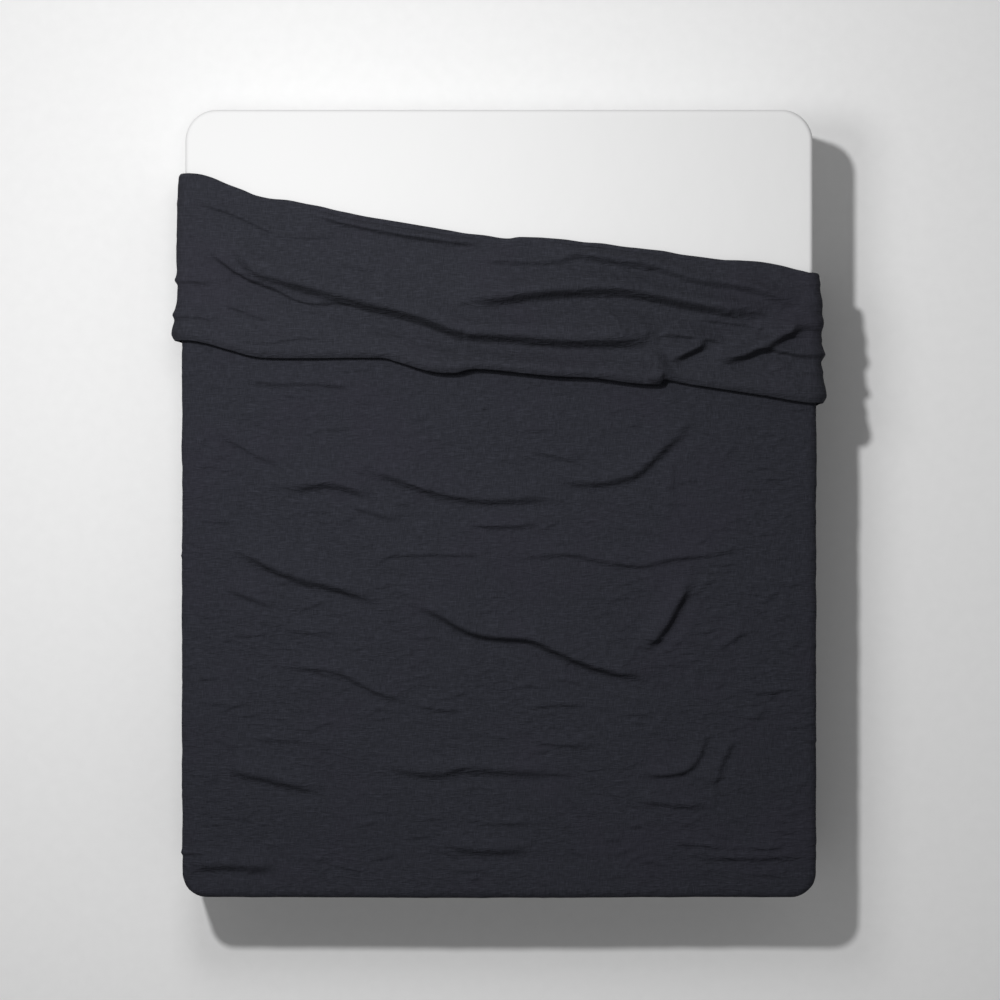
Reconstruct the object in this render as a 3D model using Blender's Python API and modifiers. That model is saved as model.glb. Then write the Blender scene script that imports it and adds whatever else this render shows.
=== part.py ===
"""A thin duvet laid over a double mattress, its head end turned down over itself.

Metres, +Z up. The origin is the middle of the mattress top, on the duvet's underside, and +Y
points to the head of the bed. The cloth is split at each fold: the body, the turn-down, the
turn-down's two ends that hang over the side drops, and the strip that closes the mouth.
"""

from math import atan2, cos, pi, sin

import bmesh
import bpy
from mathutils import Matrix, Vector

# The mattress that the duvet is laid over
MATTRESS_WIDTH = 1.600
MATTRESS_LENGTH = 2.000
FOOT_CORNER = 0.055
TOP_EDGE = 0.012

# The duvet on the bed
SIDE_DROP = 0.290
FOOT_DROP = 0.210
FOLD_LEFT_Y = 0.824
FOLD_RIGHT_Y = 0.560
HEM_LEFT_Y = 0.412
HEM_RIGHT_Y = 0.247
CROWN = 0.026

# Its layers
GAP = 0.0003
COVER = 0.0010
SHELL = 0.0006
BATTING = 0.0040
QUILT_INSET = 0.030

# The bends between the body, the turn-down and its hanging ends
FOLD_BACK = 0.0070
BEND_GAP = 0.0009
END_BEND = 0.0013

# The mouth of the cover, in the foot drop
MOUTH_WIDTH = 1.300
MOUTH_HEIGHT = 0.050
MOUTH_PLAY = 0.0010
BAND_HEIGHT = 0.030
BAND = 0.0008
BAND_FROM_END = 0.010
BAND_FROM_HEM = 0.006
STUDS = 7
STUD_FROM_END = 0.080
STUD_PITCH = (MOUTH_WIDTH - 2 * STUD_FROM_END) / (STUDS - 1)
STUD_RADIUS = 0.006
POST_RADIUS = 0.0025
POST_LENGTH = 0.0013
SOCKET = 0.0020

# Corner ties and the care label
LOOP_RADIUS = 0.0022
LOOP_CORD = 0.0006
TIE_CORD = 0.0008
TIE_LENGTH = 0.080
TIE_FROM_END = 0.080
LABEL_WIDTH = 0.030
LABEL_HEIGHT = 0.038
LABEL = 0.0004
LABEL_FROM_STUD = 0.002

HALF_WIDTH = MATTRESS_WIDTH / 2
HALF_LENGTH = MATTRESS_LENGTH / 2
UP = Vector((0, 0, 1))

LAYERS = {}
level = 0.0
for layer, wall in (
    ("cover_under", COVER),
    ("under_shell", SHELL),
    ("batting", BATTING),
    ("top_shell", SHELL),
    ("cover_top", COVER),
):
    LAYERS[layer] = (level, level + wall)
    level += wall + GAP
THICKNESS = level - GAP
QUILT = ("under_shell", "batting", "top_shell")
FOLD_Z = THICKNESS + GAP / 2
END_INSIDE = HALF_WIDTH + THICKNESS + GAP
END_AXIS_X = END_INSIDE + THICKNESS / 2
END_AXIS_Z = FOLD_Z + GAP / 2 + THICKNESS / 2
BEND_X = END_INSIDE - END_BEND
BEND_Z = THICKNESS + GAP - END_BEND
FOLD_ANGLE = atan2(FOLD_RIGHT_Y - FOLD_LEFT_Y, MATTRESS_WIDTH)
FOLD_ALONG = Vector((cos(FOLD_ANGLE), sin(FOLD_ANGLE), 0))
FOLD_HEADWARD = Vector((-sin(FOLD_ANGLE), cos(FOLD_ANGLE), 0))
FOLD_MIDDLE = Vector((0, (FOLD_LEFT_Y + FOLD_RIGHT_Y) / 2, FOLD_Z))

LINEN = (0.0220, 0.0230, 0.0298)
LIGHT_LINEN = (0.0240, 0.0250, 0.0318)
PLAIN_COTTON = (0.76, 0.75, 0.72)
WADDING = (0.86, 0.86, 0.85)
TAPE = (0.62, 0.61, 0.58)
CLEAR_RESIN = (0.70, 0.71, 0.72)
SATIN = (0.88, 0.88, 0.87)
FINISH = {
    "cover_under": (LIGHT_LINEN, 0.86),
    "under_shell": (PLAIN_COTTON, 0.80),
    "batting": (WADDING, 0.95),
    "top_shell": (PLAIN_COTTON, 0.80),
    "cover_top": (LINEN, 0.86),
}

for obj in list(bpy.data.objects):
    bpy.data.objects.remove(obj)
duvet = bpy.data.collections.new("duvet")
bpy.context.scene.collection.children.link(duvet)


def finish_material(name, color, roughness):
    material = bpy.data.materials.new(name)
    material.use_nodes = True
    shader = material.node_tree.nodes["Principled BSDF"]
    shader.inputs["Base Color"].default_value = (*color, 1)
    shader.inputs["Roughness"].default_value = roughness
    shader.inputs["Metallic"].default_value = 0
    return material


def add(name, bm, color, roughness, place=None):
    """The bmesh as an object of the duvet, with its own material."""
    mesh = bpy.data.meshes.new(name)
    bm.to_mesh(mesh)
    bm.free()
    obj = bpy.data.objects.new(name, mesh)
    if place is not None:
        obj.matrix_world = place
    duvet.objects.link(obj)
    mesh.materials.append(finish_material(name, color, roughness))
    return obj


def thicken(obj, wall, inward):
    solid = obj.modifiers.new("wall", "SOLIDIFY")
    solid.thickness = wall
    solid.offset = -1 if inward else 1
    solid.use_even_offset = True


def box_bmesh(low, high):
    bm = bmesh.new()
    bmesh.ops.create_cube(bm, size=1)
    low, high = Vector(low), Vector(high)
    bmesh.ops.transform(bm, matrix=Matrix.Diagonal((*(high - low), 1)), verts=bm.verts)
    bmesh.ops.translate(bm, vec=(low + high) / 2, verts=bm.verts)
    return bm


def cut(bm, point, normal):
    """Cuts the bmesh at a plane, and clears what lies on the normal's side of it."""
    bmesh.ops.bisect_plane(
        bm, geom=bm.verts[:] + bm.edges[:] + bm.faces[:], plane_co=point, plane_no=normal,
        clear_outer=True,
    )


def score(bm, point, normal, chosen):
    """Divides the chosen faces at a plane, and clears nothing."""
    faces = [face for face in bm.faces if chosen(face)]
    edges = {edge for face in faces for edge in face.edges}
    verts = {vert for face in faces for vert in face.verts}
    bmesh.ops.bisect_plane(
        bm, geom=faces + list(edges) + list(verts), plane_co=point, plane_no=normal
    )


def remove_faces(bm, chosen):
    faces = [face for face in bm.faces if chosen(face)]
    bmesh.ops.delete(bm, geom=faces, context="FACES")


def fold_cut(bm, headward):
    """Keeps the part of a bmesh that lies foot-side of the fold line, moved headward by a distance."""
    cut(bm, FOLD_MIDDLE + FOLD_HEADWARD * headward, FOLD_HEADWARD)


def fold_point(x):
    return FOLD_MIDDLE.y + x * (FOLD_RIGHT_Y - FOLD_LEFT_Y) / MATTRESS_WIDTH


def hem_point(x):
    share = (x + HALF_WIDTH) / MATTRESS_WIDTH
    return HEM_LEFT_Y + (HEM_RIGHT_Y - HEM_LEFT_Y) * share


def inset_of(layer):
    """How far a layer's edges stop short of the cover's hem."""
    return QUILT_INSET if layer in QUILT else 0.0


def body_layer(layer):
    """One layer of the duvet over the mattress top, down both sides and down the foot."""
    low, high = LAYERS[layer]
    inset = inset_of(layer)
    half = HALF_WIDTH + high
    foot = -HALF_LENGTH - high
    bm = box_bmesh((-half, foot, inset - SIDE_DROP), (half, HALF_LENGTH, high))
    remove_faces(bm, lambda face: face.normal.z < -0.5 or face.normal.y > 0.5)
    corners = [
        edge for edge in bm.edges
        if abs((edge.verts[0].co - edge.verts[1].co).normalized().z) > 0.9
        and edge.verts[0].co.y < 0
    ]
    bmesh.ops.bevel(
        bm, geom=corners, offset=FOOT_CORNER + high, segments=6, profile=0.5, affect="EDGES",
        material=-1,
    )
    rim = [
        edge for edge in bm.edges
        if len(edge.link_faces) == 2
        and all(abs(vert.co.z - high) < 1e-6 for vert in edge.verts)
    ]
    bmesh.ops.bevel(
        bm, geom=rim, offset=TOP_EDGE + high, segments=4, profile=0.5, affect="EDGES", material=-1
    )
    fold_cut(bm, -FOLD_BACK)
    foot_hem = -FOOT_DROP + (MOUTH_HEIGHT + GAP * 2 if inset else 0)
    side_end = -HALF_LENGTH + FOOT_CORNER
    score(bm, (0, side_end, 0), (0, 1, 0), lambda face: abs(face.normal.x) > 0.99)
    score(bm, (0, 0, foot_hem), UP, lambda face: face.calc_center_median().y < side_end)
    remove_faces(
        bm,
        lambda face: face.calc_center_median().z < foot_hem
        and face.calc_center_median().y < side_end,
    )
    if layer == "cover_top":
        open_mouth(bm)
    name = layer if inset else layer + "_panel"
    obj = add(name, bm, *FINISH[layer])
    thicken(obj, high - low, inward=True)


def open_mouth(bm):
    """Takes the closing strip's place out of the foot drop."""
    side = MOUTH_WIDTH / 2
    top = MOUTH_HEIGHT - FOOT_DROP
    for point, normal in (((side, 0, 0), (1, 0, 0)), ((-side, 0, 0), (1, 0, 0)), ((0, 0, top), UP)):
        score(bm, point, normal, lambda face: face.normal.y < -0.99)
    remove_faces(
        bm,
        lambda face: abs(face.calc_center_median().x) < side
        and face.calc_center_median().y < -HALF_LENGTH
        and face.calc_center_median().z < top,
    )


def crown(across, along):
    """The rise of the loosely folded turn-down, nothing at its four sides."""
    return CROWN * sin(pi * across) ** 0.7 * sin(pi * along) ** 2


def turn_down_layer(layer):
    """One layer of the turn-down, lying over the body and turned over, between the bends."""
    low, high = LAYERS[layer]
    side = BEND_X - GAP
    bm = bmesh.new()
    bmesh.ops.create_grid(bm, x_segments=12, y_segments=8, size=0.5)
    for vert in bm.verts:
        across = min(1, max(0, vert.co.x + 0.5))
        along = min(1, max(0, vert.co.y + 0.5))
        x = (2 * across - 1) * side
        head = fold_point(x) - FOLD_BACK / cos(FOLD_ANGLE)
        y = hem_point(x) + (head - hem_point(x)) * along
        vert.co = Vector((x, y, 2 * FOLD_Z - high + crown(across, along)))
    bmesh.ops.triangulate(bm, faces=bm.faces)
    hem_slope = (HEM_RIGHT_Y - HEM_LEFT_Y) / MATTRESS_WIDTH
    if inset_of(layer):
        cut(bm, (0, hem_point(0) + inset_of(layer), 0), (hem_slope, -1, 0))
    grown = bmesh.ops.extrude_face_region(bm, geom=bm.faces[:])
    upper = [item for item in grown["geom"] if isinstance(item, bmesh.types.BMVert)]
    bmesh.ops.translate(bm, vec=UP * (high - low), verts=upper)
    bmesh.ops.recalc_face_normals(bm, faces=bm.faces)
    add("turn_down_" + layer, bm, *FINISH[layer])


def end_bounds(side):
    """Where the hanging end of one side starts at its hem and stops at its fold, along Y."""
    x = side * HALF_WIDTH
    return hem_point(x), fold_point(x) - FOLD_BACK / cos(FOLD_ANGLE)


def hanging_layer(layer, side, word):
    """One layer of the end of the turn-down that hangs outside a side drop."""
    low, high = LAYERS[layer]
    hem, fold = end_bounds(side)
    near = END_INSIDE + THICKNESS - high
    far = END_INSIDE + THICKNESS - low
    inset = inset_of(layer)
    bm = box_bmesh(
        (min(side * near, side * far), hem + inset, inset - SIDE_DROP),
        (max(side * near, side * far), fold, BEND_Z - GAP),
    )
    add(f"{word}_end_{layer}", bm, *FINISH[layer])


def spun_bend(name, corners, centre, axis, angle, finish, steps):
    """A bend: the four corners of its section's rectangle turned about an axis, then closed."""
    bm = bmesh.new()
    points = [bm.verts.new(corner) for corner in corners]
    edges = [bm.edges.new(pair) for pair in zip(points, points[1:] + points[:1])]
    bmesh.ops.spin(
        bm, geom=points + edges, cent=centre, axis=axis, angle=angle, steps=steps,
        use_merge=False, use_duplicate=False,
    )
    bmesh.ops.holes_fill(bm, edges=[edge for edge in bm.edges if edge.is_boundary], sides=4)
    bmesh.ops.recalc_face_normals(bm, faces=bm.faces)
    add(name, bm, *finish)


def head_bend(name, outer, wall, finish):
    """A bend of the fold, from the body's head edge up to the turn-down's."""
    centre = FOLD_MIDDLE - FOLD_HEADWARD * (FOLD_BACK - BEND_GAP)
    lean = abs(sin(FOLD_ANGLE)) * FOLD_Z
    reach = FOLD_ALONG * (BEND_X - GAP - lean) / cos(FOLD_ANGLE)
    corners = [
        centre - reach - UP * outer, centre + reach - UP * outer,
        centre + reach - UP * (outer - wall), centre - reach - UP * (outer - wall),
    ]
    spun_bend(name, corners, centre, FOLD_ALONG, pi, finish, 8)


def end_bend(name, side, outer, wall, finish):
    """A bend from the turn-down's side edge down to its hanging end."""
    hem, fold = end_bounds(side)
    centre = Vector((side * BEND_X, hem, BEND_Z))
    length = Vector((0, fold - hem, 0))
    inner = centre + UP * (outer - wall)
    corners = [centre + UP * outer, centre + UP * outer + length, inner + length, inner]
    spun_bend(name, corners, centre, (0, 1, 0), side * pi / 2, finish, 5)


def drop_bend(name, side):
    """The fold's lower stretch, from a side drop's head edge round to the hanging end's."""
    x = side * (HALF_WIDTH + FOLD_Z)
    fold = end_bounds(side)[1] + BEND_GAP
    inward = Vector((-side, 0, 0))
    low = Vector((x, fold, -SIDE_DROP))
    high = Vector((x, fold, -GAP * 2))
    corners = [
        low + inward * FOLD_Z, high + inward * FOLD_Z,
        high + inward * (FOLD_Z - COVER), low + inward * (FOLD_Z - COVER),
    ]
    spun_bend(name, corners, low, (0, 0, 1), -side * pi, FINISH["cover_under"], 8)


def mouth():
    """The strip that closes the mouth, its two bands, and a press stud and socket at each pitch."""
    low, high = LAYERS["cover_top"]
    inner = LAYERS["cover_under"][1]
    side = MOUTH_WIDTH / 2 - GAP
    hem = -FOOT_DROP
    bm = box_bmesh(
        (-side, -HALF_LENGTH - high, hem),
        (side, -HALF_LENGTH - low, hem + MOUTH_HEIGHT - MOUTH_PLAY),
    )
    add("mouth_strip", bm, *FINISH["cover_top"])
    band_side = side - BAND_FROM_END
    band_low = hem + BAND_FROM_HEM
    outer_band = low - GAP
    inner_band = inner + GAP
    for name, nearer in (("mouth_outer_band", outer_band - BAND), ("mouth_inner_band", inner_band)):
        bm = box_bmesh(
            (-band_side, -HALF_LENGTH - nearer - BAND, band_low),
            (band_side, -HALF_LENGTH - nearer, band_low + BAND_HEIGHT),
        )
        add(name, bm, LINEN, 0.86)
    stud_back = inner_band + BAND + GAP
    socket_far = outer_band - BAND - GAP
    stud_disc = socket_far - SOCKET - GAP - stud_back
    height = band_low + BAND_HEIGHT / 2
    for number in range(STUDS):
        x = (number - (STUDS - 1) / 2) * STUD_PITCH
        turned(
            f"press_stud_{number + 1}", (x, -HALF_LENGTH - stud_back, height),
            ((0, 0), (STUD_RADIUS, 0), (STUD_RADIUS, stud_disc), (POST_RADIUS, stud_disc),
             (POST_RADIUS, stud_disc + POST_LENGTH), (0, stud_disc + POST_LENGTH)),
        )
        hole = POST_RADIUS + GAP
        depth = POST_LENGTH
        turned(
            f"press_socket_{number + 1}", (x, -HALF_LENGTH - socket_far + SOCKET, height),
            ((0, depth), (hole, depth), (hole, 0), (STUD_RADIUS, 0), (STUD_RADIUS, SOCKET),
             (0, SOCKET)),
        )
    label_x = STUD_PITCH * (STUDS - 1) / 2 + STUD_RADIUS + LABEL_FROM_STUD
    bm = box_bmesh(
        (label_x, -HALF_LENGTH - stud_back - LABEL, band_low),
        (label_x + LABEL_WIDTH, -HALF_LENGTH - stud_back, band_low + LABEL_HEIGHT),
    )
    add("care_label", bm, SATIN, 0.45)


def turned(name, place, profile):
    """A piece turned about the line that runs out of the foot drop, from its (radius, height) steps."""
    bm = bmesh.new()
    points = [bm.verts.new((radius, 0, height)) for radius, height in profile]
    edges = [bm.edges.new(pair) for pair in zip(points, points[1:])]
    bmesh.ops.spin(
        bm, geom=points + edges, cent=(0, 0, 0), axis=(0, 0, 1), angle=2 * pi, steps=12,
        use_merge=True, use_duplicate=False,
    )
    bmesh.ops.remove_doubles(bm, verts=bm.verts, dist=1e-6)
    bmesh.ops.recalc_face_normals(bm, faces=bm.faces)
    out = Matrix.Translation(place) @ Matrix.Rotation(pi / 2, 4, "X")
    add(name, bm, CLEAR_RESIN, 0.30, out)


def corner_tie(word, end, x, y, hem):
    """A quilt corner's cord loop, and the cover's tie that passes through it."""
    low = hem - LOOP_RADIUS - LOOP_CORD - GAP
    bm = bmesh.new()
    ring = bmesh.ops.create_circle(bm, segments=6, radius=LOOP_CORD)["verts"]
    bmesh.ops.translate(bm, vec=(LOOP_RADIUS, 0, 0), verts=ring)
    bmesh.ops.spin(
        bm, geom=ring + bm.edges[:], cent=(0, 0, 0), axis=(0, 1, 0), angle=2 * pi, steps=12,
        use_merge=True, use_duplicate=False,
    )
    bmesh.ops.remove_doubles(bm, verts=bm.verts, dist=1e-6)
    bmesh.ops.recalc_face_normals(bm, faces=bm.faces)
    add(f"quilt_loop_{end}_{word}", bm, TAPE, 0.85, Matrix.Translation((x, y, low)))
    bm = bmesh.new()
    bmesh.ops.create_cone(
        bm, segments=8, radius1=TIE_CORD, radius2=TIE_CORD, depth=TIE_LENGTH, cap_ends=True
    )
    lie = Matrix.Translation((x, y, low)) @ Matrix.Rotation(pi / 2, 4, "X")
    add(f"corner_tie_{end}_{word}", bm, TAPE, 0.85, lie)


def hinge_empty(name, place, parent=None):
    """An empty on a joint's axis, for the pieces that turn about it."""
    empty = bpy.data.objects.new(name, None)
    empty.location = place - parent.location if parent else place
    empty.parent = parent
    duvet.objects.link(empty)
    return empty


def hang_on(empty, place, starts):
    """Parents the pieces whose names start so to the empty, and leaves them where they are."""
    for obj in duvet.objects:
        if obj.type == "MESH" and obj.name.startswith(starts):
            obj.parent = empty
            obj.matrix_parent_inverse = Matrix.Translation(-place)


for layer in LAYERS:
    body_layer(layer)
    turn_down_layer(layer)
    for side, word in ((-1, "left"), (1, "right")):
        hanging_layer(layer, side, word)

cover_bend = FOLD_Z
quilt_outer = FOLD_Z - LAYERS["under_shell"][0]
quilt_inner = FOLD_Z - LAYERS["top_shell"][1]
lining_outer = FOLD_Z - LAYERS["cover_top"][0]
head_bend("fold_cover_under", cover_bend, COVER, FINISH["cover_under"])
head_bend("fold_quilt", quilt_outer, quilt_outer - quilt_inner, FINISH["batting"])
head_bend("fold_cover_top", lining_outer, COVER, FINISH["cover_top"])
for side, word in ((-1, "left"), (1, "right")):
    outer = END_BEND + THICKNESS
    end_bend(f"{word}_bend_cover_under", side, outer, COVER, FINISH["cover_under"])
    end_bend(
        f"{word}_bend_quilt", side, outer - LAYERS["under_shell"][0],
        LAYERS["top_shell"][1] - LAYERS["under_shell"][0], FINISH["batting"],
    )
    end_bend(
        f"{word}_bend_cover_top", side, outer - LAYERS["cover_top"][0], COVER,
        FINISH["cover_top"],
    )
    drop_bend(f"{word}_drop_bend", side)
    quilt_hem = QUILT_INSET - SIDE_DROP
    middle = (LAYERS["under_shell"][0] + LAYERS["top_shell"][1]) / 2
    corner_tie(
        word, "foot", side * (HALF_WIDTH + middle),
        -HALF_LENGTH + FOOT_CORNER + TIE_FROM_END, quilt_hem,
    )
    corner_tie(
        word, "head", side * (END_INSIDE + THICKNESS - middle),
        end_bounds(side)[0] + TIE_FROM_END, quilt_hem,
    )
mouth()

fold_hinge = hinge_empty("turn_down_fold", FOLD_MIDDLE)
hang_on(fold_hinge, FOLD_MIDDLE, ("turn_down_", "left_bend_", "right_bend_"))
for side, word in ((-1, "left"), (1, "right")):
    end_axis = Vector((side * END_AXIS_X, sum(end_bounds(side)) / 2, END_AXIS_Z))
    end_hinge = hinge_empty(f"{word}_end_fold", end_axis, fold_hinge)
    hang_on(end_hinge, end_axis, (f"{word}_end_", f"quilt_loop_head_{word}", f"corner_tie_head_{word}"))
mouth_axis = Vector((0, -HALF_LENGTH - THICKNESS + COVER / 2, MOUTH_HEIGHT - MOUTH_PLAY - FOOT_DROP))
mouth_hinge = hinge_empty("mouth_opening", mouth_axis)
hang_on(mouth_hinge, mouth_axis, ("mouth_strip", "mouth_outer_band", "press_socket_"))
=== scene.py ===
# %% [markdown]
# # A turned-down duvet on a double mattress
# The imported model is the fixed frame: it says how big each layer is, and which body each node
# rides on. Everything below is cloth laid around that frame, in metres, with +Y to the head.

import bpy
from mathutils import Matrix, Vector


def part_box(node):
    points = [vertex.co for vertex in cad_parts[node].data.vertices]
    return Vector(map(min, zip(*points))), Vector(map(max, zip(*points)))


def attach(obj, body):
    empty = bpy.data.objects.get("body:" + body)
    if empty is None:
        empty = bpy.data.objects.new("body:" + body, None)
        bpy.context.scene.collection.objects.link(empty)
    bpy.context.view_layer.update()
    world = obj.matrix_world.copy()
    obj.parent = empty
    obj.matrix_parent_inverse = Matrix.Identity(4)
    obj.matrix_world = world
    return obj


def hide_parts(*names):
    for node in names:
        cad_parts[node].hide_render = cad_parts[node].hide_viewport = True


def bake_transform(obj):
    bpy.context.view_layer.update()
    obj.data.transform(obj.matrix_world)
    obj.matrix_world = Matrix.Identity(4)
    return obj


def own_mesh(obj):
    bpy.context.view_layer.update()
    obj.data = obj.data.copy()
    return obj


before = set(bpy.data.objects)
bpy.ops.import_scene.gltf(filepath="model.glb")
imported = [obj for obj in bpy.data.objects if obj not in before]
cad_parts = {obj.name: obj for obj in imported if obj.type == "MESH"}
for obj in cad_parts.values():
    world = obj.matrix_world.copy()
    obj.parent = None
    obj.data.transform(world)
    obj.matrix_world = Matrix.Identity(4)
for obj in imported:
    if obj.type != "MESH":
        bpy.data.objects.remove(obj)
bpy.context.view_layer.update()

from math import cos, pi, radians, sin

import bmesh
import bpy
import numpy as np
from mathutils import Vector

# %% [markdown]
# The sizes come from the frame. The body's top panel gives the mattress: its outer face stands
# one duvet thickness off it. The mattress's edge radius is the panel's bend less that thickness.

# %% Sizes read from the frame
top_low, top_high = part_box("cover_top_panel")
strip_low, strip_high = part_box("mouth_strip")
BEHIND = 0.0003
THICKNESS = top_high.z
HALF_WIDTH = top_high.x - THICKNESS
HALF_LENGTH = -top_low.y - THICKNESS
SIDE_HEM = top_low.z
FOOT_HEM = strip_low.z
MOUTH_TOP = strip_high.z
MOUTH_SIDE = strip_high.x
FOOT_CORNER = 0.055
EDGE = 0.012
FLAT = HALF_WIDTH - EDGE
FLAT_FOOT = -HALF_LENGTH + EDGE
BEND_LENGTH = EDGE * pi / 2
TURNED = 2 * THICKNESS + BEHIND
ROLL = 0.012
MATTRESS_HEIGHT = 0.300
HEAD_CORNER = 0.080
FORM_GAP = 0.0006
print(f"duvet {THICKNESS * 1000:.1f} mm thick on a mattress of "
      f"{2 * HALF_WIDTH:.2f} x {2 * HALF_LENGTH:.2f} m")

# %% [markdown]
# Cloth is never straight. These helpers make a smooth line through a few chosen points, and a
# soft random field whose grain can be longer one way than the other, as creases in linen are.

# %% Smooth lines and soft noise
def ease(value):
    value = np.clip(value, 0, 1)
    return value * value * (3 - 2 * value)


def smooth_line(points, steps=10):
    """The points joined by a line that bends through each of them."""
    points = np.array(points, float)
    ends = np.concatenate([[2 * points[0] - points[1]], points, [2 * points[-1] - points[-2]]])
    share = np.linspace(0, 1, steps, endpoint=False)[:, None]
    spans = []
    for before, start, stop, after in zip(ends, ends[1:], ends[2:], ends[3:]):
        spans.append(
            0.5 * (2 * start + (stop - before) * share
                   + (2 * before - 5 * start + 4 * stop - after) * share ** 2
                   + (3 * start - before - 3 * stop + after) * share ** 3)
        )
    return np.concatenate(spans + [points[-1:]])


def soft_noise(x, y, long, wide, seed):
    """A smooth field between -1 and 1, with blobs about that long along X and wide along Y."""
    table = np.random.default_rng(seed).random((128, 128)) * 2 - 1
    u, v = x / long + 31.7, y / wide + 17.3
    i, j = np.floor(u).astype(int), np.floor(v).astype(int)
    fu, fv = ease(u - i), ease(v - j)
    i0, i1, j0, j1 = i % 128, (i + 1) % 128, j % 128, (j + 1) % 128
    low = table[i0, j0] * (1 - fu) + table[i1, j0] * fu
    high = table[i0, j1] * (1 - fu) + table[i1, j1] * fu
    return low * (1 - fv) + high * fv


# %% [markdown]
# The fold and the hem of the turn-down cross the bed on a slant, and neither is straight. A
# sleeper folds a duvet by eye, so the fold sags towards the left and the hem wavers.

# %% The fold and the hem, seen from above
FOLD_EDGE = smooth_line([
    (-0.840, 0.836), (-0.790, 0.834), (-0.744, 0.828), (-0.658, 0.798), (-0.604, 0.778),
    (-0.472, 0.756), (-0.385, 0.733), (-0.266, 0.712), (-0.158, 0.695), (-0.050, 0.680),
    (0.020, 0.672), (0.070, 0.676), (0.233, 0.661), (0.396, 0.640), (0.558, 0.618),
    (0.668, 0.608), (0.760, 0.590), (0.840, 0.574),
])
HEM_EDGE = smooth_line([
    (-0.840, 0.416), (-0.790, 0.410), (-0.744, 0.402), (-0.681, 0.384), (-0.604, 0.366),
    (-0.472, 0.364), (-0.309, 0.365), (-0.266, 0.357), (-0.179, 0.331), (-0.113, 0.326),
    (-0.050, 0.336), (0.126, 0.319), (0.233, 0.314), (0.342, 0.300), (0.406, 0.298),
    (0.420, 0.310), (0.484, 0.298), (0.668, 0.270), (0.760, 0.254), (0.840, 0.246),
])


def fold_at(x):
    return np.interp(x, FOLD_EDGE[:, 0], FOLD_EDGE[:, 1]) - ROLL


def hem_at(x):
    return np.interp(x, HEM_EDGE[:, 0], HEM_EDGE[:, 1])


print(f"turn-down {fold_at(0) - hem_at(0):.3f} m deep at the middle")

# %% [markdown]
# A crease in laid cloth has a long gentle back and a short steep face, and a strong one rolls
# over its own foot. Each is a line from left to right with the gentle back on its head side, so
# a raised ridge is given by its line, height, back width, face width and how far it leans.

# %% One crease
def crease(x, y, points, height, back=0.045, face=0.015, lean=0.15, trough=0.10, taper=0.28):
    """What a crease moves each point by, as three arrays: along X, along Y and up."""
    moved = np.zeros((3, len(x)))
    line = smooth_line(points, 8)
    reach = 2.6 * max(back, face)
    near = np.flatnonzero(
        (x > line[:, 0].min() - reach) & (x < line[:, 0].max() + reach)
        & (y > line[:, 1].min() - reach) & (y < line[:, 1].max() + reach)
    )
    if not len(near):
        return moved
    spot = np.stack([x[near], y[near]], axis=1)
    start, span = line[:-1], np.diff(line, axis=0)
    length = np.linalg.norm(span, axis=1)
    offset = spot[:, None] - start[None]
    share = np.clip((offset * span).sum(2) / length ** 2, 0, 1)
    gap = offset - share[..., None] * span
    distance = np.linalg.norm(gap, axis=2)
    best = distance.argmin(1)
    row = np.arange(len(near))
    away = distance[row, best]
    way = span[best] / length[best][:, None]
    side = np.sign(way[:, 0] * gap[row, best, 1] - way[:, 1] * gap[row, best, 0])
    travelled = (np.concatenate([[0], np.cumsum(length)[:-1]])[best]
                 + share[row, best] * length[best]) / length.sum()
    taper = ease(travelled / taper) * ease((1 - travelled) / taper)
    signed = away * np.where(side == 0, 1, side)
    slope = 0.45 * np.exp(-(signed / (0.4 * back)) ** 2) + 0.55 * np.exp(-(signed / back) ** 2)
    rise = np.where(signed > 0, slope, 1 - ease(-signed / face))
    dip = np.exp(-((signed + 1.2 * face) / (0.6 * face)) ** 2)
    lift = height * taper * rise
    moved[0, near] = lean * lift * way[:, 1]
    moved[1, near] = -lean * lift * way[:, 0]
    moved[2, near] = lift - trough * height * taper * dip
    return moved


def add_creases(x, y, creases):
    total = np.zeros((3, len(x)))
    for points, settings in creases:
        total += crease(x, y, points, **settings)
    return total


# %% [markdown]
# The body's creases. The strong ones cross the middle of the bed, and the rest lie round them.

# %% Creases of the body
def strong(height=0.016, **more):
    return {"height": height, "back": 0.040, "face": 0.027, "lean": 0.32, "trough": 0.34, **more}


def middling(height=0.008, **more):
    return {"height": height, "back": 0.030, "face": 0.016, "lean": 0.30, "trough": 0.22, **more}


def slight(height=0.0042, **more):
    return {"height": height, "back": 0.020, "face": 0.011, "lean": 0.20, **more}


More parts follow.
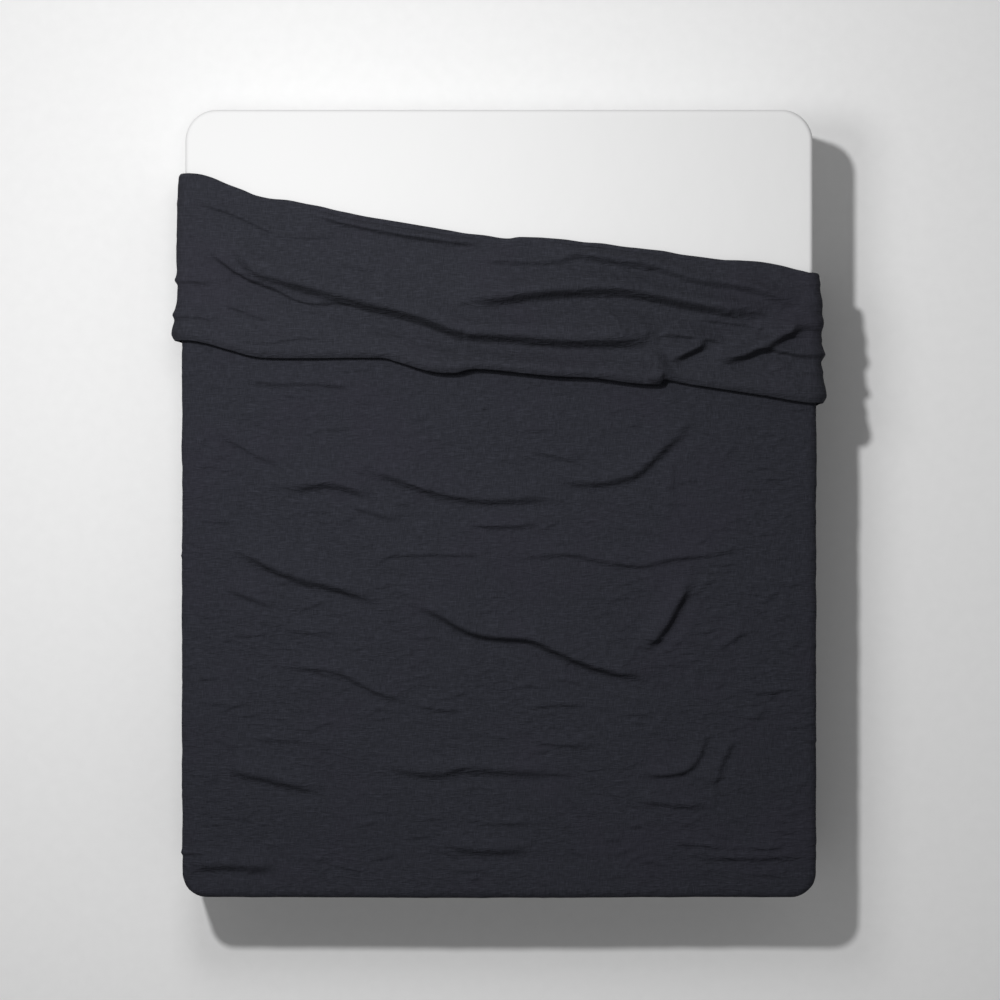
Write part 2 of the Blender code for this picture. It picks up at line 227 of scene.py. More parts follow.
BODY_CREASES = [
    ([(-0.739, 0.192), (-0.658, 0.150), (-0.592, 0.113), (-0.538, 0.092)], middling(0.0078)),
    ([(-0.560, 0.034), (-0.500, 0.048), (-0.430, 0.056), (-0.353, 0.037), (-0.300, 0.020)],
     strong(0.0143)),
    ([(-0.400, 0.106), (-0.289, 0.080), (-0.202, 0.048), (-0.114, 0.025), (-0.027, 0.015),
      (0.103, 0.018), (0.190, 0.004)], strong(0.0156)),
    ([(-0.397, 0.005), (-0.320, -0.022), (-0.235, -0.045)], middling(0.0078)),
    ([(-0.085, -0.046), (-0.006, -0.056), (0.113, -0.050)], middling(0.0091)),
    ([(0.060, 0.138), (0.156, 0.120), (0.225, 0.106)], middling(0.0078)),
    ([(0.120, 0.066), (0.190, 0.060), (0.256, 0.059), (0.332, 0.076), (0.375, 0.108),
      (0.428, 0.160), (0.505, 0.218)], strong(0.0156)),
    ([(-0.770, -0.040), (-0.720, -0.048), (-0.670, -0.046)], slight()),
    ([(-0.690, -0.100), (-0.604, -0.142), (-0.528, -0.176), (-0.452, -0.197), (-0.375, -0.219),
      (-0.280, -0.258)], strong(0.0182)),
    ([(-0.340, -0.140), (-0.245, -0.132), (-0.146, -0.130), (-0.030, -0.136)], slight(0.0065)),
    ([(0.005, -0.142), (0.103, -0.132), (0.190, -0.128), (0.276, -0.148), (0.364, -0.155),
      (0.452, -0.137), (0.560, -0.126), (0.670, -0.098)], middling(0.0084)),
    ([(-0.250, -0.238), (-0.180, -0.262), (-0.136, -0.282), (-0.080, -0.314), (-0.020, -0.330),
      (0.081, -0.338), (0.146, -0.366), (0.233, -0.403), (0.321, -0.427), (0.420, -0.446)],
     strong(0.0220, face=0.027, taper=0.22)),
    ([(0.352, -0.380), (0.408, -0.317), (0.440, -0.262), (0.462, -0.225), (0.492, -0.190)],
     strong(0.0208, back=0.030)),
    ([(-0.700, -0.212), (-0.625, -0.241), (-0.560, -0.266)], middling(0.0078)),
    ([(-0.560, -0.408), (-0.480, -0.418), (-0.418, -0.425), (-0.365, -0.448), (-0.289, -0.486),
      (-0.215, -0.502)], middling(0.0104)),
    ([(-0.225, -0.508), (-0.158, -0.523), (-0.085, -0.528)], slight(0.0065)),
    ([(-0.630, -0.596), (-0.560, -0.603), (-0.490, -0.600)], slight(0.0052)),
    ([(-0.710, -0.662), (-0.650, -0.680), (-0.592, -0.692), (-0.516, -0.710), (-0.440, -0.724)],
     strong(0.0130)),
    ([(-0.330, -0.658), (-0.245, -0.673), (-0.158, -0.681), (-0.093, -0.668), (0.017, -0.673),
      (0.110, -0.678), (0.210, -0.676)], strong(0.0117)),
    ([(-0.070, -0.660), (-0.074, -0.700), (-0.070, -0.740)], slight(0.0065)),
    ([(0.065, -0.522), (0.140, -0.512), (0.230, -0.515)], slight(0.0065)),
    ([(0.080, -0.603), (0.160, -0.614), (0.250, -0.618)], slight(0.0065)),
    ([(0.345, -0.690), (0.452, -0.684), (0.497, -0.654), (0.530, -0.565)], middling(0.0104)),
    ([(0.535, -0.735), (0.560, -0.664), (0.592, -0.595)], middling(0.0091)),
    ([(0.335, -0.754), (0.429, -0.762), (0.545, -0.768)], middling(0.0078)),
    ([(-0.165, -0.860), (-0.090, -0.872), (-0.027, -0.876), (0.095, -0.872)], strong(0.0117)),
    ([(-0.800, -0.910), (-0.740, -0.916), (-0.691, -0.915), (-0.550, -0.922)], strong(0.0117)),
    ([(0.435, -0.856), (0.500, -0.868), (0.590, -0.877)], slight(0.0065)),
    ([(0.630, -0.873), (0.680, -0.876), (0.730, -0.872)], slight(0.0065)),
    ([(0.480, -0.898), (0.640, -0.900), (0.795, -0.892)], middling(0.0065)),
    ([(-0.045, -0.810), (0.020, -0.814), (0.090, -0.811)], slight(0.0052)),
    ([(0.545, -0.382), (0.605, -0.335), (0.620, -0.290)], slight(0.0078)),
    ([(0.436, 0.100), (0.430, 0.020), (0.428, -0.062)], slight(0.0039)),
    ([(-0.676, 0.316), (-0.571, 0.306), (-0.460, 0.306), (-0.350, 0.296)], middling(0.0078)),
    ([(0.040, 0.190), (0.100, 0.186), (0.170, 0.192)], slight(0.0039)),
    ([(-0.560, -0.320), (-0.470, -0.330), (-0.400, -0.326)], slight(0.0052)),
    ([(0.620, 0.080), (0.690, 0.060), (0.760, 0.066)], slight(0.0039)),
    ([(0.600, -0.470), (0.670, -0.480), (0.760, -0.470)], slight(0.0052)),
    ([(-0.780, -0.500), (-0.700, -0.512), (-0.620, -0.508)], slight(0.0039)),
]

# %% [markdown]
# Washed linen also carries hundreds of small creases. They aren't drawn one by one: a seeded
# generator scatters short ones, mostly lying across the bed, so each run gives the same cloth.

# %% Small scattered creases
def scattered(count, seed, low, high, size=(0.030, 0.10), turn=22, height=(0.0014, 0.0042)):
    """That many short creases between two corners of the cloth."""
    chance = np.random.default_rng(seed)
    made = []
    for _ in range(count):
        x, y = chance.uniform(low, high)
        half = chance.uniform(*size) / 2
        angle = radians(chance.normal(0, turn))
        bow = chance.uniform(-0.18, 0.18) * half
        way = np.array([cos(angle), sin(angle)])
        across = np.array([-way[1], way[0]])
        middle = np.array([x, y])
        points = [middle - way * half, middle + across * bow, middle + way * half]
        made.append((points, {
            "height": chance.uniform(*height), "back": chance.uniform(0.006, 0.014),
            "face": chance.uniform(0.006, 0.009), "lean": 0.15, "trough": 0.25,
        }))
    return made


BODY_SMALL = (
    scattered(330, 11, (-0.79, -0.97), (0.79, 0.36))
    + scattered(140, 12, (0.30, -0.80), (0.78, -0.20), size=(0.02, 0.06), turn=60)
    + scattered(60, 13, (0.05, 0.02), (0.78, 0.20), size=(0.02, 0.06), turn=70)
)
print(len(BODY_CREASES), "drawn creases and", len(BODY_SMALL), "scattered ones on the body")


def body_relief(x, y):
    """How the body's cloth leaves its flat place, nothing where the turn-down covers it."""
    total = add_creases(x, y, BODY_CREASES) + add_creases(x, y, BODY_SMALL)
    waves = 0.0016 * soft_noise(x, y, 0.21, 0.085, 3) + 0.0008 * soft_noise(x, y, 0.07, 0.030, 4)
    crumple = 0.00045 * soft_noise(x, y, 0.022, 0.012, 5)
    crumple += 0.0003 * soft_noise(x, y, 0.012, 0.016, 6)
    total[2] += waves + crumple
    shown = ease((hem_at(x) + 0.012 - y) / 0.035)
    return total * shown


# %% [markdown]
# A cloth piece is a fine outer face and a plainer inner one, closed round the rim. Both start as
# bmesh grids whose points are moved to their places, as a sculptor pushes a plane. Each point also
# keeps where it is on the flat cloth, in metres, so that the weave runs with the threads.

# %% From a grid of places to a closed piece of cloth
def new_cloth():
    made = bmesh.new()
    made.verts.layers.float_vector.new("cloth")
    return made


def add_grid(made, places, cloth):
    """Adds a grid with a point at each place, given as rows of columns of places."""
    rows, columns = places.shape[:2]
    grid = bmesh.ops.create_grid(made, x_segments=columns - 1, y_segments=rows - 1, size=1)
    layer = made.verts.layers.float_vector["cloth"]
    for vert, place, spot in zip(grid["verts"], places.reshape(-1, 3), cloth.reshape(-1, 2)):
        vert.co = place
        vert[layer] = (spot[0], spot[1], 0)
    return grid["verts"]


def close_rim(made):
    """Bridges the outer face's rim to the inner face's."""
    rims = [edge for edge in made.edges if edge.is_boundary]
    if rims:
        bmesh.ops.bridge_loops(made, edges=rims)
    bmesh.ops.remove_doubles(made, verts=made.verts, dist=1e-5)
    bmesh.ops.recalc_face_normals(made, faces=made.faces)


def finish_piece(name, made, body):
    """Turns a bmesh into a smooth-shaded object that moves with its body."""
    open_edges = sum(not edge.is_manifold for edge in made.edges)
    mesh = bpy.data.meshes.new(name)
    made.to_mesh(mesh)
    made.free()
    mesh.shade_smooth()
    mesh.set_sharp_from_angle(angle=radians(78))
    piece = bpy.data.objects.new(name, mesh)
    bpy.context.scene.collection.objects.link(piece)
    if body:
        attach(piece, body)
    triangles = sum(len(face.vertices) - 2 for face in mesh.polygons)
    print(f"{name}: {triangles} triangles, {open_edges} open edges")
    return piece


def spread(start, stop, step):
    """Even stations from start to stop, about a step apart."""
    return np.linspace(start, stop, max(2, round(abs(stop - start) / step) + 1))


def round_rim(away, radius):
    """How far a rounded rim has swelled, from 0 at its edge to 1 a radius in."""
    share = np.clip(away / radius, 0, 1)
    return 0.6 * np.sqrt(1 - (1 - share) ** 2) + 0.4 * ease(share)


RIM_STEPS = 1 - np.cos(np.linspace(0, pi / 2, 7))


def over_edge(x, y, out_x, out_y, drop, height):
    """Where cloth lies once it has run that far past the flat top, over the mattress's edge."""
    bend = np.clip(drop / EDGE, 0, pi / 2)
    hang = np.maximum(drop - BEND_LENGTH, 0)
    reach = EDGE + height
    return np.stack(
        [x + out_x * reach * np.sin(bend), y + out_y * reach * np.sin(bend),
         -EDGE + reach * np.cos(bend) - hang], axis=-1)


# %% [markdown]
# The body lies over the mattress's top and hangs down its sides and foot. On the real bed it is
# one cloth, so here the top is a grid whose two foot corners are rounded like the mattress, and
# the hanging part is a second grid that starts from the first one's rim, point for point.

# %% The body's grid
INSET_CORNER = FOOT_CORNER - EDGE
UNDER_TURN_DOWN = 0.20
SHOWN_TO = 0.43
BODY_HEAD = 0.80
HEM_ROUND = 0.004
MOUTH_CLOTH = 0.0010


def round_corner(x, y):
    """Bends the grid's two square foot corners into the mattress's round ones."""
    side = np.sign(x)
    middle_x, middle_y = FLAT - INSET_CORNER, FLAT_FOOT + INSET_CORNER
    u = np.clip((abs(x) - middle_x) / INSET_CORNER, 0, 1)
    v = np.clip((middle_y - y) / INSET_CORNER, 0, 1)
    corner = (u > 0) & (v > 0)
    round_x = middle_x + INSET_CORNER * u * np.sqrt(1 - v * v / 2)
    round_y = middle_y - INSET_CORNER * v * np.sqrt(1 - u * u / 2)
    return np.where(corner, side * round_x, x), np.where(corner, round_y, y)


def body_rows(step):
    """The grid's rows from the foot to the fold, closer together where they show."""
    shown, covered = spread(FLAT_FOOT, SHOWN_TO, step), spread(SHOWN_TO, BODY_HEAD, 3.5 * step)
    return np.concatenate([shown, covered[1:]])


def body_top(columns, rows):
    """The flat places of the top's points, the head end slanted along the fold."""
    x, y = np.meshgrid(columns, rows)
    slant = (fold_at(x) - UNDER_TURN_DOWN) / (BODY_HEAD - UNDER_TURN_DOWN)
    y = np.where(y > UNDER_TURN_DOWN, UNDER_TURN_DOWN + (y - UNDER_TURN_DOWN) * slant, y)
    return round_corner(x, y)


def rim_of(x, y):
    """The top's rim, from one head corner round the foot to the other, and its outward way."""
    rim_x = np.concatenate([x[:0:-1, 0], x[0, :], x[1:, -1]])
    rim_y = np.concatenate([y[:0:-1, 0], y[0, :], y[1:, -1]])
    out_x = np.where(abs(rim_x) > FLAT - 1e-6, np.sign(rim_x), 0.0)
    out_y = np.where(rim_y < FLAT_FOOT + 1e-6, -1.0, 0.0)
    middle_x, middle_y = FLAT - INSET_CORNER, FLAT_FOOT + INSET_CORNER
    corner = (abs(rim_x) > middle_x + 1e-6) & (rim_y < middle_y - 1e-6)
    out_x = np.where(corner, (rim_x - np.sign(rim_x) * middle_x) / INSET_CORNER, out_x)
    out_y = np.where(corner, (rim_y - middle_y) / INSET_CORNER, out_y)
    return rim_x, rim_y, out_x, out_y


def hem_level(y):
    """How low the hem hangs: the sides hang lower than the foot."""
    return SIDE_HEM + (FOOT_HEM - SIDE_HEM) * ease((-0.90 - y) / 0.075)


def skirt_ripple(rim_x, rim_y, drop):
    """How far the hanging cloth waves outwards, growing to the hem."""
    along = np.where(abs(rim_x) > FLAT - 0.03, rim_y, rim_x) + 3 * np.sign(rim_x)
    wave = 0.5 + 0.5 * soft_noise(along, drop * 0.35, 0.085, 0.30, 21)
    fine = soft_noise(along, drop, 0.030, 0.060, 22)
    low = ease(drop / 0.26)
    clear = ease((hem_at(rim_x) - 0.03 - rim_y) / 0.10)
    beside_mouth = ease((abs(rim_x) - MOUTH_SIDE - 0.01) / 0.07)
    return (0.015 * wave ** 1.5 * low + 0.0009 * fine * ease(drop / 0.05)) * clear * beside_mouth


def add_body_face(made, column_step, row_step, drop_steps, outer):
    """Adds the body's outer or inner face: its top, and what hangs from the top's rim."""
    x, y = body_top(spread(-FLAT, FLAT, column_step), body_rows(row_step))
    raised = body_relief(x.ravel(), y.ravel()).reshape(3, *x.shape) * outer
    lean = ease(np.minimum(FLAT - abs(x), y - FLAT_FOOT) / 0.03)
    height = raised[2] + (THICKNESS if outer else BEHIND)
    places = np.stack([x + raised[0] * lean, y + raised[1] * lean, height], axis=-1)
    add_grid(made, places, np.stack([x, y], axis=-1))

    x, y, out_x, out_y = rim_of(x, y)
    full = BEND_LENGTH - EDGE - hem_level(y)
    drop = np.concatenate([
        np.linspace(0, 1, 5)[:-1, None] * np.full_like(full, BEND_LENGTH),
        BEND_LENGTH + np.linspace(0, 1, drop_steps)[:, None] * (full - BEND_LENGTH - HEM_ROUND),
        full - HEM_ROUND * RIM_STEPS[::-1][1:, None],
    ])
    cloth_x, cloth_y = x + out_x * drop, y + out_y * drop
    raised = body_relief(cloth_x.ravel(), cloth_y.ravel())[2].reshape(drop.shape)
    raised *= np.exp(-drop / 0.10)
    ripple = skirt_ripple(x, y, drop)
    in_mouth = (abs(x) < MOUTH_SIDE) & (out_y < -0.5) & (drop > BEND_LENGTH - EDGE - MOUTH_TOP)
    thick = np.where(in_mouth, MOUTH_CLOTH, THICKNESS)
    middle = (thick + BEHIND) / 2 + ripple
    face = np.where(in_mouth, thick, thick + raised) + ripple if outer else BEHIND + ripple
    height = middle + (face - middle) * round_rim(full - drop, HEM_ROUND)
    hanging = over_edge(x, y, out_x, out_y, drop, height)
    add_grid(made, hanging, np.stack([cloth_x, cloth_y], axis=-1))


# %% The body
def make_body():
    made = new_cloth()
    add_body_face(made, column_step=0.0088, row_step=0.0045, drop_steps=22, outer=True)
    outer_count = len(made.verts)
    add_body_face(made, column_step=0.027, row_step=0.025, drop_steps=6, outer=False)
    made.verts.ensure_lookup_table()
    outer_points, inner_points = made.verts[:outer_count], made.verts[outer_count:]
    bmesh.ops.remove_doubles(made, verts=outer_points, dist=1e-5)
    bmesh.ops.remove_doubles(made, verts=[v for v in inner_points if v.is_valid], dist=1e-5)
    close_rim(made)
    return finish_piece("duvet_body", made, "root")


duvet_body = make_body()
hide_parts("cover_top_panel", "cover_under_panel", "top_shell", "batting",
            "under_shell")

# %% [markdown]
# The turn-down is the duvet's head end laid back over itself, so it is the cover's under side that
# shows. It is slack, and its rolls are the tallest thing on the bed. They lie along the slanted
# hem, and lean towards the foot, because the cloth was pushed that way as it was laid.

# %% Rolls of the turn-down
def tall(height, **more):
    return {"height": height, "back": 0.040, "face": 0.019, "lean": 0.20, "trough": 0.15, **more}


TURN_DOWN_CREASES = [
    ([(-0.740, 0.640), (-0.660, 0.640), (-0.610, 0.606), (-0.528, 0.580), (-0.418, 0.548),
      (-0.310, 0.521), (-0.202, 0.494), (-0.093, 0.455), (0.017, 0.445), (0.179, 0.433),
      (0.300, 0.432), (0.440, 0.426)],
     tall(0.040, back=0.055, face=0.048, lean=0.32, trough=0.42, taper=0.14)),
    ([(-0.160, 0.540), (-0.050, 0.532), (0.070, 0.548), (0.179, 0.557), (0.299, 0.558),
      (0.396, 0.542), (0.505, 0.520), (0.614, 0.502), (0.740, 0.496)],
     tall(0.036, back=0.044, face=0.043, lean=0.30, trough=0.42, taper=0.20)),
    ([(-0.765, 0.664), (-0.691, 0.608), (-0.636, 0.572), (-0.561, 0.542), (-0.485, 0.511),
      (-0.360, 0.510)], tall(0.018, back=0.022, face=0.014)),
    ([(0.060, 0.674), (0.150, 0.648), (0.233, 0.634), (0.396, 0.608), (0.505, 0.575),
      (0.625, 0.558), (0.730, 0.520), (0.840, 0.490)], tall(0.025, back=0.030, face=0.028)),
    ([(-0.480, 0.740), (-0.385, 0.716), (-0.266, 0.691), (-0.158, 0.674), (-0.030, 0.660)],
     tall(0.019, back=0.014, face=0.020, taper=0.18)),
    ([(-0.060, 0.624), (0.030, 0.618), (0.120, 0.618), (0.220, 0.630)],
     tall(0.015, back=0.020, face=0.020)),
    ([(0.398, 0.388), (0.404, 0.350), (0.396, 0.320), (0.404, 0.292)],
     tall(0.030, back=0.022, face=0.023)),
    ([(0.430, 0.364), (0.470, 0.386), (0.530, 0.414)], tall(0.029, back=0.022, face=0.024)),
    ([(0.530, 0.356), (0.590, 0.376), (0.647, 0.396), (0.767, 0.460), (0.800, 0.474)],
     tall(0.033, back=0.026, face=0.028)),
    ([(0.400, 0.430), (0.480, 0.426), (0.580, 0.410)], tall(0.013, back=0.022, face=0.014)),
    ([(0.620, 0.408), (0.700, 0.392), (0.840, 0.362)], tall(0.015, back=0.024, face=0.016)),
    ([(-0.800, 0.775), (-0.767, 0.761), (-0.700, 0.744), (-0.637, 0.717), (-0.580, 0.690),
      (-0.510, 0.650)], tall(0.008, back=0.022, face=0.011)),
    ([(-0.560, 0.684), (-0.500, 0.674), (-0.410, 0.680)], tall(0.006, back=0.016, face=0.011)),
    ([(-0.710, 0.508), (-0.640, 0.484), (-0.565, 0.452)], tall(0.007, back=0.020, face=0.011)),
    ([(-0.064, 0.470), (-0.078, 0.420), (-0.092, 0.360)], tall(0.010, back=0.014, face=0.011)),
    ([(-0.700, 0.420), (-0.600, 0.410), (-0.480, 0.420), (-0.380, 0.404)],
     tall(0.007, back=0.026, face=0.014)),
    ([(-0.500, 0.620), (-0.380, 0.605), (-0.260, 0.580), (-0.180, 0.560)],
     tall(0.007, back=0.022, face=0.014)),
    ([(0.440, 0.470), (0.560, 0.462), (0.700, 0.440), (0.790, 0.420)],
     tall(0.008, back=0.020, face=0.013)),
    ([(-0.840, 0.560), (-0.790, 0.566), (-0.720, 0.556)], tall(0.007, back=0.016, face=0.013)),
    ([(-0.840, 0.480), (-0.780, 0.476), (-0.700, 0.462)], tall(0.007, back=0.016, face=0.013)),
]
TURN_DOWN_SMALL = (
    scattered(110, 31, (-0.79, 0.40), (0.79, 0.70), height=(0.0008, 0.0024))
    + scattered(60, 32, (0.36, 0.28), (0.79, 0.50), size=(0.03, 0.08), turn=50,
                height=(0.0012, 0.0036))
)


def turn_down_relief(x, y):
    """How the turn-down's cloth leaves its flat place."""
    total = add_creases(x, y, TURN_DOWN_CREASES) + add_creases(x, y, TURN_DOWN_SMALL)
    across = (fold_at(x) - y) / (fold_at(x) - hem_at(x))
    puff = 0.0070 * np.sin(pi * np.clip(across, 0, 1)) ** 0.7
    puff *= 0.8 + 0.5 * soft_noise(x, y, 0.16, 0.07, 41)
    hollow = 0.006 * np.exp(-((x - 0.085) / 0.11) ** 2 - ((y - 0.615) / 0.045) ** 2)
    crumple = 0.0006 * soft_noise(x, y, 0.024, 0.014, 42)
    crumple += 0.0003 * soft_noise(x, y, 0.013, 0.014, 43)
    total[2] += puff - hollow + 0.0016 * soft_noise(x, y, 0.060, 0.026, 44) + crumple
    return total


def settle(x):
    """Slows x to a stop at the flat top's two sides, so that no roll kinks where the ends begin."""
    past = np.maximum(abs(x) - (FLAT - SETTLING), 0)
    return np.sign(x) * (abs(x) - past ** 2 / (2 * SETTLING))


def hem_lift(x, y):
    """How far the slack hem stands off the body, most of all right of the middle."""
    away = np.maximum(y - hem_at(x), 0)
    lifted = 0.021 + 0.017 * ease((x + 0.30) / 0.16) * ease((0.46 - x) / 0.07)
    lifted += 0.004 * ease((x - 0.44) / 0.10) * ease((0.80 - x) / 0.10)
    lifted += 0.0022 * soft_noise(x, 0 * x, 0.055, 1, 45)
    return lifted * np.exp(-(away / 0.060) ** 2)


# %% [markdown]
# The turn-down's hem is a soft roll, not a cut edge: the quilt inside keeps the two cloths apart.
# Its grid has rows packed together at the hem, where the rim turns under.

# %% The turn-down
TURN_DOWN_DEPTH = 0.34
TURN_DOWN_STEP = 0.0036
ACROSS_STEP = 0.0065
TURN_DOWN_ROUND = 0.020
TURN_DOWN_UNDER = THICKNESS + BEHIND
CAP_START = 0.050
CAP_ROOM = 0.012
SETTLING = 0.040
LEAST_WALL = 0.004


def turn_down_rows(x):
    """The rows' places from the hem to the fold, at each column."""
    depth = fold_at(x) - hem_at(x)
    steps = round(TURN_DOWN_DEPTH / TURN_DOWN_STEP)
    rim = RIM_STEPS[:, None] * TURN_DOWN_ROUND * np.ones_like(x)
    rest = TURN_DOWN_ROUND + np.linspace(0, 1, steps)[1:, None] * (depth - TURN_DOWN_ROUND)
    return hem_at(x) + np.concatenate([rim, rest])


def soft_cap(height):
    """Rounds off whatever stands too proud, so that nothing leaves the frame's box by much."""
    over = np.maximum(height - CAP_START, 0)
    return np.minimum(height, CAP_START) + CAP_ROOM * (1 - np.exp(-over / CAP_ROOM))


def turn_down_heights(x, y):
    """The heights of the turn-down's outer and inner faces, and how the outer one shifts."""
    moved = turn_down_relief(settle(x).ravel(), y.ravel()).reshape(3, *x.shape)
    to_hem, to_fold = y - hem_at(x), fold_at(x) - y
    moved[2] *= ease(to_hem / 0.020 + 0.25)
    lift = hem_lift(x, y)
    near_fold = ease(to_fold / 0.014)
    top = soft_cap(TURNED + lift + moved[2] * (0.25 + 0.75 * near_fold))
    top = np.maximum(top, TURN_DOWN_UNDER + LEAST_WALL)
    under = np.minimum(TURN_DOWN_UNDER + 0.7 * lift, top - LEAST_WALL)
    rim = round_rim(to_hem, TURN_DOWN_ROUND)
    middle = 0.25 * top + 0.75 * under
    shift = moved[:2] * ease(to_hem / 0.015) * near_fold
    return middle + (top - middle) * rim, middle + (under - middle) * rim, shift


def make_turn_down():
    made = new_cloth()
    columns = spread(-FLAT, FLAT, ACROSS_STEP)
    y = turn_down_rows(columns)
    x = np.broadcast_to(columns, y.shape)
    top, under, shift = turn_down_heights(x, y)
    shift = shift * ease((FLAT - abs(x)) / 0.03)
    cloth = np.stack([x, y], axis=-1)
    add_grid(made, np.stack([x + shift[0], y + shift[1], top], axis=-1), cloth)
    add_grid(made, np.stack([x, y, under], axis=-1), cloth)
    close_rim(made)
    return finish_piece("turn_down_cloth", made, "turn_down")


turn_down = make_turn_down()
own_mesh(turn_down)
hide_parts("turn_down_cover_under", "turn_down_under_shell", "turn_down_batting",
            "turn_down_top_shell", "turn_down_cover_top")

# %% [markdown]
# Each end of the turn-down runs on over the mattress's edge and hangs down beside the body. Its
# rolls run over the edge with it and fade as it hangs. At the edge its relief starts as the
# turn-down's and blends into its own within a few centimetres.

# %% The two hanging ends
def make_end(name, side):
    made = new_cloth()
    edge_x = np.array([side * FLAT])
    y = turn_down_rows(edge_x)
    full = BEND_LENGTH - EDGE - SIDE_HEM
    drop = np.concatenate([
        np.linspace(0, BEND_LENGTH, 8)[:-1], spread(BEND_LENGTH, full - HEM_ROUND, 0.008),
        full - HEM_ROUND * RIM_STEPS[::-1][1:],
    ])
    y, drop = np.broadcast_arrays(y, drop)
    at_edge = np.full_like(y, side * FLAT)
    to_hem = y - hem_at(at_edge)
    x = side * (FLAT + drop)
    moved = turn_down_relief(x.ravel(), y.ravel()).reshape(3, *x.shape)
    start = turn_down_relief(settle(at_edge).ravel(), y.ravel()).reshape(3, *x.shape)
    blend = ease(drop / 0.03)
    raised = (start[2] * (1 - blend) + moved[2] * blend) * np.exp(-drop / 0.16)
    raised *= ease(to_hem / 0.020 + 0.25) * (0.25 + 0.75 * ease((fold_at(at_edge) - y) / 0.014))
    lift = hem_lift(at_edge, y) * np.exp(-drop / 0.10)
    wave = 0.006 * (0.5 + 0.5 * soft_noise(y + 5 * side, drop, 0.060, 0.30, 51))
    wave *= ease((drop - 0.02) / 0.22)
    top = soft_cap(TURNED + lift + raised) + wave
    top = np.maximum(top, TURN_DOWN_UNDER + LEAST_WALL + wave)
    under = np.minimum(TURN_DOWN_UNDER + 0.7 * lift + 0.3 * wave, top - LEAST_WALL)
    rim = round_rim(to_hem, TURN_DOWN_ROUND) * round_rim(full - drop, HEM_ROUND)
    middle = 0.25 * top + 0.75 * under
    shift = 0.012 * soft_noise(y, drop, 0.12, 0.15, 52 + side) * ease(drop / 0.20)
    hem_lean = shift * ease(1 - to_hem / 0.25)
    cloth = np.stack([x, y], axis=-1)
    for height in (middle + (top - middle) * rim, middle + (under - middle) * rim):
        add_grid(made, over_edge(at_edge, y + hem_lean, side, 0, drop, height), cloth)
    close_rim(made)
    end_name = name + "_end"
    piece = finish_piece(end_name + "_cloth", made, None)
    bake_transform(piece)
    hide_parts(*[f"{name}_bend_{layer}" for layer in ("cover_under", "quilt", "cover_top")],
                *[f"{end_name}_{layer}" for layer in
                  ("cover_under", "under_shell", "batting", "top_shell", "cover_top")])
    return piece


left_end = make_end("left", -1)
right_end = make_end("right", 1)

# %% [markdown]
# Where the duvet turns back there is no crease: both layers run round one soft roll, flatter
# underneath where it rests. Its section is a half circle, carried along the slanted fold, and
# the two hanging lengths of it run down the mattress's sides.

# %% The fold's roll
ROLL_TURNS = np.linspace(-pi / 2, pi / 2, 13)


def roll_section(x, top):
    """Places round the roll's section at each column: how far out from the fold, and how high.

    Its flat back has a point at each side of the gap between the two layers.
    """
    out = ROLL * np.cos(ROLL_TURNS)[:, None] * (1 + 0.25 * soft_noise(x, 0 * x, 0.05, 1, 61))
    share = (1 + np.sin(ROLL_TURNS)[:, None]) / 2
    height = BEHIND + share * (top - BEHIND)
    back = np.array([TURN_DOWN_UNDER, THICKNESS])[:, None] + 0 * x
    return np.concatenate([out, 0 * back, out[:1]]), np.concatenate([height, back, height[:1]])


def close_roll(made):
    """Joins the roll's seam and closes its two ends."""
    bmesh.ops.remove_doubles(made, verts=made.verts, dist=1e-5)
    bmesh.ops.holes_fill(made, edges=[edge for edge in made.edges if edge.is_boundary])
    bmesh.ops.triangulate(made, faces=[face for face in made.faces if len(face.verts) > 4])
    bmesh.ops.recalc_face_normals(made, faces=made.faces)


def make_fold_roll():
    made = new_cloth()
    columns = spread(-FLAT, FLAT, ACROSS_STEP)
    y = fold_at(columns)[None]
    top = turn_down_heights(columns[None], y)[0][0]
    out, height = roll_section(columns, top)
    x, y = np.broadcast_arrays(columns, y + out)
    add_grid(made, np.stack([x, y, height], axis=-1), np.stack([x, y + height], axis=-1))
    close_roll(made)
    piece = finish_piece("fold_roll", made, None)
    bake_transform(piece)
    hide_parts("fold_cover_under", "fold_quilt", "fold_cover_top")
    return piece


def make_drop_roll(name, side):
    made = new_cloth()
    full = BEND_LENGTH - EDGE - SIDE_HEM
    drop = np.concatenate([np.linspace(0, BEND_LENGTH, 8)[:-1], spread(BEND_LENGTH, full, 0.012)])
    edge_x = np.full_like(drop, side * FLAT)
    y = fold_at(edge_x)
    top = turn_down_heights(edge_x[None], y[None])[0][0]
    top = TURNED + (top - TURNED) * np.exp(-drop / 0.08)
    out, height = roll_section(edge_x, top)
    drop = np.broadcast_to(drop, height.shape)
    places = over_edge(edge_x, y + out, side, 0, drop, height)
    add_grid(made, places, np.stack([edge_x + side * drop, y + out + height], axis=-1))
    close_roll(made)
    piece = finish_piece(f"{name}_drop_roll", made, "root")
    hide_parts(f"{name}_drop_bend")
    return piece


fold_roll = make_fold_roll()
left_roll = make_drop_roll("left", -1)
right_roll = make_drop_roll("right", 1)

# %% [markdown]
# The foot hem opens: a strip of the cover's top cloth is held to the under cloth by press studs.
# The strip is thin, and hinges along its upper edge when the studs are pulled apart.

